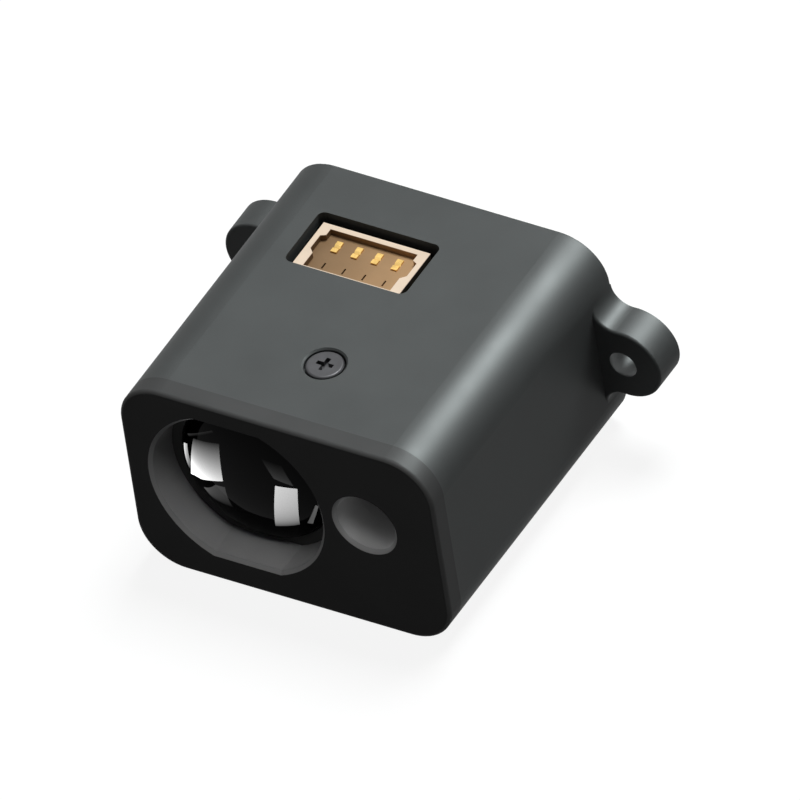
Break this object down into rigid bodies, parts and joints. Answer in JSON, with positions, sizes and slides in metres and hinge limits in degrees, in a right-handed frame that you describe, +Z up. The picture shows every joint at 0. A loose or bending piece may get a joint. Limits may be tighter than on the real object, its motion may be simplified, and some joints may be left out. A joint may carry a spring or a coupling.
{
  "type": "laser ranging module",
  "caption": "Compact solid-state lidar ranging module in a rounded black housing, with a domed receiver lens, an emitter hole, a wire connector on top and two mounting ears.",
  "frame": {"origin": "middle of the body's footprint, on its bottom face", "axes": "-Y the way the lenses look, +Y to the back with the ears, +X the emitter side, +Z up towards the connector"},
  "size_m": [0.0324, 0.0234, 0.0155],
  "materials": {
    "housing_plastic": "satin moulded plastic",
    "cover_plastic": "matt moulded plastic",
    "lens_black": "polished infrared-passing optic",
    "bench_plastic": "matt light-absorbing plastic",
    "ring_metal": "black",
    "clear_lens": "coated",
    "filter_glass": "polished interference coating",
    "gasket_rubber": "foam",
    "chip_plastic": "moulded epoxy",
    "chip_ceramic": "fired",
    "board_green": "solder mask",
    "screw_steel": "plated",
    "crystal_metal": "plated lid",
    "ferrite": "sintered",
    "capacitor_yellow": "moulded epoxy",
    "connector_cream": "satin nylon",
    "contact_gold": "gold plated",
    "tab_tin": "tin plated",
    "screw_black": "black oxide"
  },
  "bodies": {
    "root": {"housing": "housing_plastic", "front_cover": "cover_plastic", "receiver_lens": "lens_black", "optical_bench": "bench_plastic", "emitter_lens_ring": "ring_metal", "emitter_lens": "clear_lens", "bandpass_filter": "filter_glass", "sensor_gasket": "gasket_rubber", "receiver_sensor": "chip_plastic", "laser_emitter": "chip_ceramic", "main_board": "board_green", "board_screws": "screw_steel", "laser_driver": "chip_plastic", "microcontroller": "chip_plastic", "voltage_regulator": "chip_plastic", "clock_crystal": "crystal_metal", "power_inductor": "ferrite", "storage_capacitor": "capacitor_yellow", "ceramic_capacitors": "chip_ceramic", "chip_resistors": "chip_plastic", "connector_housing": "connector_cream", "connector_contacts": "contact_gold", "connector_tabs": "tab_tin", "case_screw": "screw_black"}
  },
  "joints": []
}
